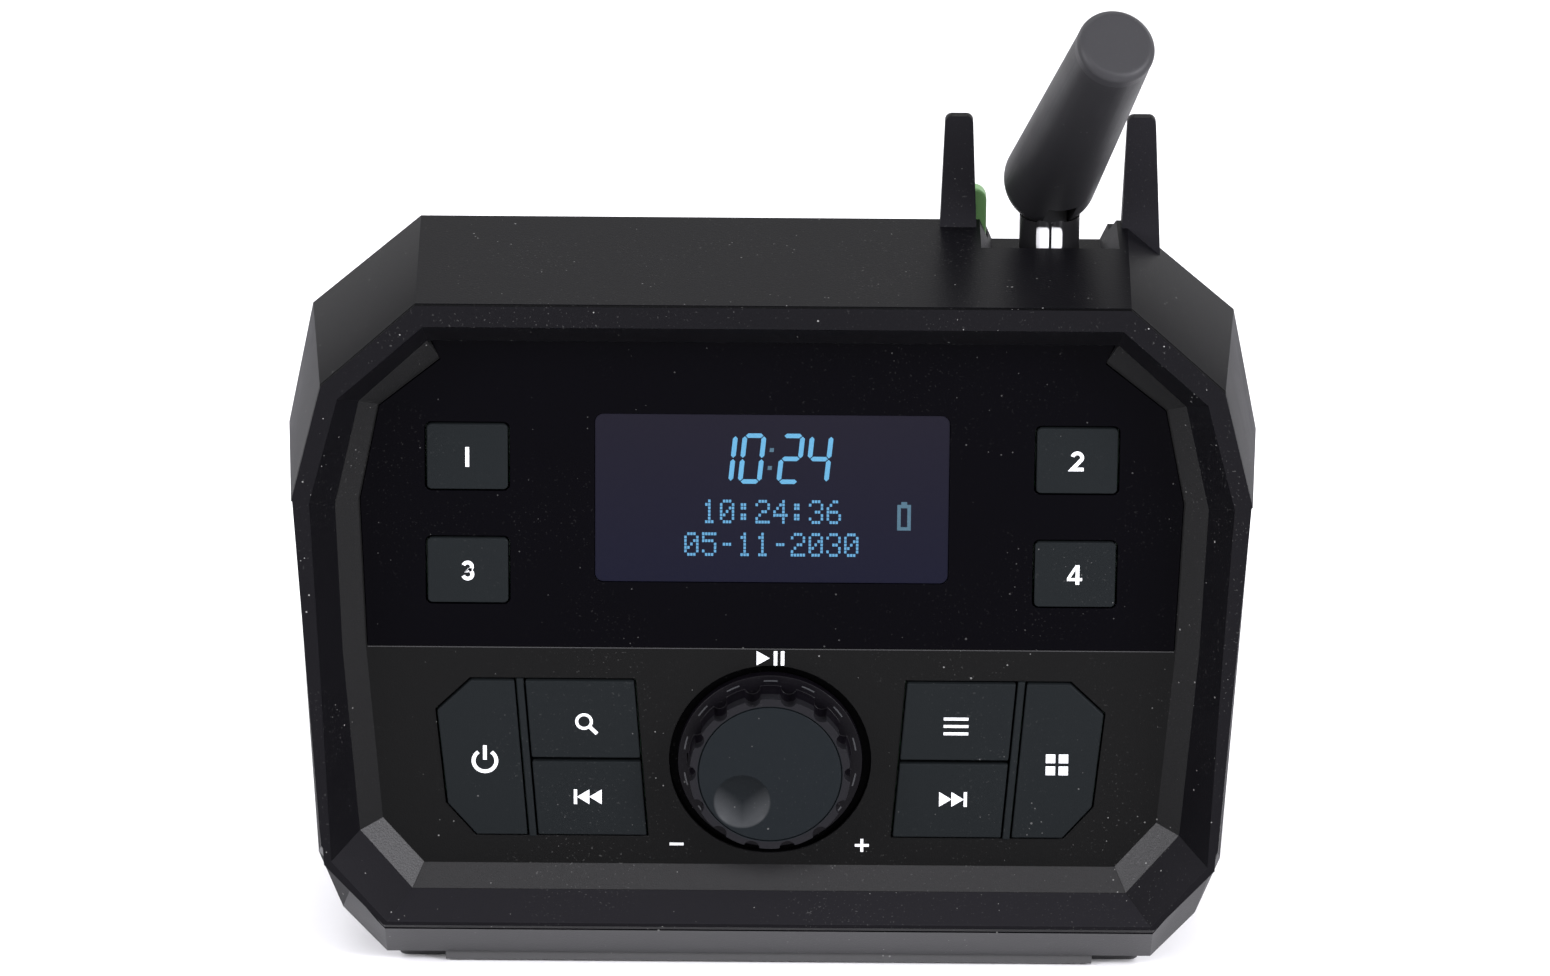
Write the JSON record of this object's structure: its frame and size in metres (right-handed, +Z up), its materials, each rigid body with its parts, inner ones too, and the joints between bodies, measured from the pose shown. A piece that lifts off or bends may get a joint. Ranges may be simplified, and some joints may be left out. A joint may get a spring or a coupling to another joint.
{
  "type": "digital radio",
  "caption": "Rugged compact digital radio: octagonal housing with a deep rim, display window, push buttons, fluted push dial, folding stub antenna and side speakers.",
  "frame": {"origin": "on the floor under the middle of the body's width and depth", "axes": "+X to the right seen from the front, +Y to the rear, +Z up"},
  "size_m": [0.1672, 0.088, 0.1694],
  "materials": {
    "housing": "moulded soft-touch charcoal plastic, fine texture",
    "bezel": "overmoulded black elastomer, fine texture",
    "panel": "textured black moulding",
    "window": "gloss black printed lens",
    "lcd": "dark blue-violet display glass",
    "keys": "matte dark grey keypad rubber",
    "knob": "satin dark grey moulding",
    "grille": "moulded black grille",
    "speaker": "black coated frame and paper cone",
    "magnet": "ferrite magnet",
    "chrome": "black nickel plated",
    "antenna": "soft-touch black sleeve",
    "latch": "green moulding",
    "board": "green circuit board",
    "metal": "zinc plated steel",
    "carrier": "pale moulding",
    "battery": "shrink wrapped cells",
    "foot": "rubber"
  },
  "bodies": {
    "radio": {"front_housing": "housing", "rear_housing": "housing", "front_bezel": "bezel", "control_panel": "panel", "display_window": "window", "lcd_module": "lcd", "lcd_carrier": "carrier", "main_board": "board", "key_switches": "metal", "board_screws": "metal", "left_key_bar": "keys", "right_key_bar": "keys", "encoder": "metal", "left_grille": "grille", "right_grille": "grille", "left_speaker_frame": "speaker", "right_speaker_frame": "speaker", "left_speaker_cone": "speaker", "right_speaker_cone": "speaker", "left_speaker_magnet": "magnet", "right_speaker_magnet": "magnet", "battery_pack": "battery", "battery_cover": "housing", "base_plate": "bezel", "front_left_foot": "foot", "front_right_foot": "foot", "rear_left_foot": "foot", "rear_right_foot": "foot", "housing_screws": "metal", "base_screws": "metal"},
    "preset_button_1": {"preset_button_1": "keys"},
    "preset_button_2": {"preset_button_2": "keys"},
    "preset_button_3": {"preset_button_3": "keys"},
    "preset_button_4": {"preset_button_4": "keys"},
    "power_key": {"power_key": "keys"},
    "search_key": {"search_key": "keys"},
    "previous_key": {"previous_key": "keys"},
    "menu_key": {"menu_key": "keys"},
    "next_key": {"next_key": "keys"},
    "mode_key": {"mode_key": "keys"},
    "knob_carrier": {"encoder_plunger": "metal"},
    "knob": {"knob": "panel", "knob_cap": "knob", "encoder_shaft": "metal"},
    "antenna_base": {"antenna_collar": "antenna", "antenna_knuckle": "chrome", "antenna_pin": "metal"},
    "antenna": {"antenna_sleeve": "antenna", "antenna_tip": "antenna"},
    "latch": {"battery_latch": "latch"}
  },
  "joints": [
    {"name": "preset_button_1_press", "type": "slide", "parent": "radio", "child": "preset_button_1", "axis": [0, 1, 0], "range_m": [0, 0.0006], "stiffness_N_per_m": 800},
    {"name": "preset_button_2_press", "type": "slide", "parent": "radio", "child": "preset_button_2", "axis": [0, 1, 0], "range_m": [0, 0.0006], "stiffness_N_per_m": 800},
    {"name": "preset_button_3_press", "type": "slide", "parent": "radio", "child": "preset_button_3", "axis": [0, 1, 0], "range_m": [0, 0.0006], "stiffness_N_per_m": 800},
    {"name": "preset_button_4_press", "type": "slide", "parent": "radio", "child": "preset_button_4", "axis": [0, 1, 0], "range_m": [0, 0.0006], "stiffness_N_per_m": 800},
    {"name": "power_key_press", "type": "slide", "parent": "radio", "child": "power_key", "axis": [0, 1, 0], "range_m": [0, 0.0006], "stiffness_N_per_m": 800},
    {"name": "search_key_press", "type": "slide", "parent": "radio", "child": "search_key", "axis": [0, 1, 0], "range_m": [0, 0.0006], "stiffness_N_per_m": 800},
    {"name": "previous_key_press", "type": "slide", "parent": "radio", "child": "previous_key", "axis": [0, 1, 0], "range_m": [0, 0.0006], "stiffness_N_per_m": 800},
    {"name": "menu_key_press", "type": "slide", "parent": "radio", "child": "menu_key", "axis": [0, 1, 0], "range_m": [0, 0.0006], "stiffness_N_per_m": 800},
    {"name": "next_key_press", "type": "slide", "parent": "radio", "child": "next_key", "axis": [0, 1, 0], "range_m": [0, 0.0006], "stiffness_N_per_m": 800},
    {"name": "mode_key_press", "type": "slide", "parent": "radio", "child": "mode_key", "axis": [0, 1, 0], "range_m": [0, 0.0006], "stiffness_N_per_m": 800},
    {"name": "knob_press", "type": "slide", "parent": "radio", "child": "knob_carrier", "axis": [0, 1, 0], "range_m": [0, 0.0006], "stiffness_N_per_m": 1500},
    {"name": "knob_turn", "type": "hinge", "parent": "knob_carrier", "child": "knob", "pos_m": [0, -0.0343, 0.037], "axis": [0, 1, 0], "continuous": true},
    {"name": "antenna_swivel", "type": "hinge", "parent": "radio", "child": "antenna_base", "pos_m": [0.0471, 0.0009, 0.1302], "axis": [0, 0, 1], "range_deg": [-40, 15]},
    {"name": "antenna_fold", "type": "hinge", "parent": "antenna_base", "child": "antenna", "pos_m": [0.0471, 0.0009, 0.1302], "axis": [0.9677, 0.2521, 0], "range_deg": [-46.9, 12]},
    {"name": "latch_press", "type": "slide", "parent": "radio", "child": "latch", "axis": [0, 0, -1], "range_m": [0, 0.0025], "stiffness_N_per_m": 900}
  ]
}
